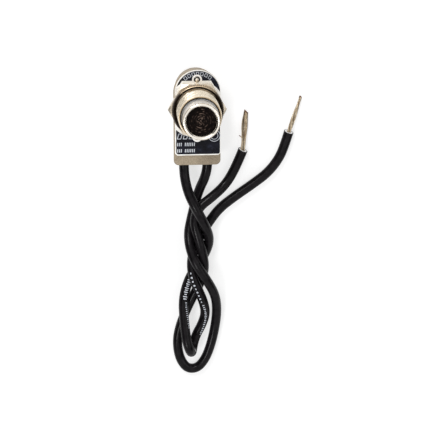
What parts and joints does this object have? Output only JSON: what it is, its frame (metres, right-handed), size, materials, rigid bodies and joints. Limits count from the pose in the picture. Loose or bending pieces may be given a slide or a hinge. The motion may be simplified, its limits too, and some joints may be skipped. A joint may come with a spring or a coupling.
{
  "type": "pushbutton canopy switch",
  "caption": "Small pushbutton switch: moulded body with a metal nameplate, threaded bushing with hexagon and knurled nuts, recessed button and stripped wire leads.",
  "frame": {"origin": "on the bushing's axis, level with the ring nut's front face, where the free thread starts", "axes": "+Z along the bushing towards the button's face, +Y towards the body's half-round end, wires leave the body along -Y"},
  "size_m": [0.0386, 0.0923, 0.0259],
  "materials": {
    "tan_moulding": "matte",
    "black_print": "satin",
    "nickel_plate": "bright nickel",
    "plated_steel": "plated",
    "brass": "satin",
    "dark_insert": "satin",
    "black_insulation": "satin",
    "tinned_copper": "tinned"
  },
  "bodies": {
    "body": {"housing": "tan_moulding", "rear_cover": "tan_moulding", "nameplate": "black_print", "top_rivet": "plated_steel", "bottom_rivet": "plated_steel", "bushing": "nickel_plate", "hex_nut": "nickel_plate", "ring_nut": "nickel_plate", "return_spring": "plated_steel", "drum_axle": "plated_steel", "left_contact": "brass", "right_contact": "brass", "left_wire": "black_insulation", "right_wire": "black_insulation", "left_conductor": "tinned_copper", "right_conductor": "tinned_copper", "left_strands": "tinned_copper", "right_strands": "tinned_copper"},
    "plunger": {"button": "nickel_plate", "button_insert": "dark_insert", "plunger_stem": "plated_steel", "drive_pawl": "plated_steel"},
    "drum": {"ratchet_drum": "tan_moulding", "contact_bridge": "brass"}
  },
  "joints": [
    {"name": "button_press", "type": "slide", "parent": "body", "child": "plunger", "axis": [0, 0, -1], "range_m": [0, 0.003], "stiffness_N_per_m": 800, "springref_m": -0.002, "deforming": ["return_spring"]},
    {"name": "drum_turn", "type": "hinge", "parent": "body", "child": "drum", "pos_m": [0, -0.0039, -0.0086], "axis": [-1, 0, 0], "range_deg": [0, 90]}
  ],
  "couplings": [
    {"joint": "drum_turn", "follows": "button_press", "rad_per_m": 523.6}
  ]
}
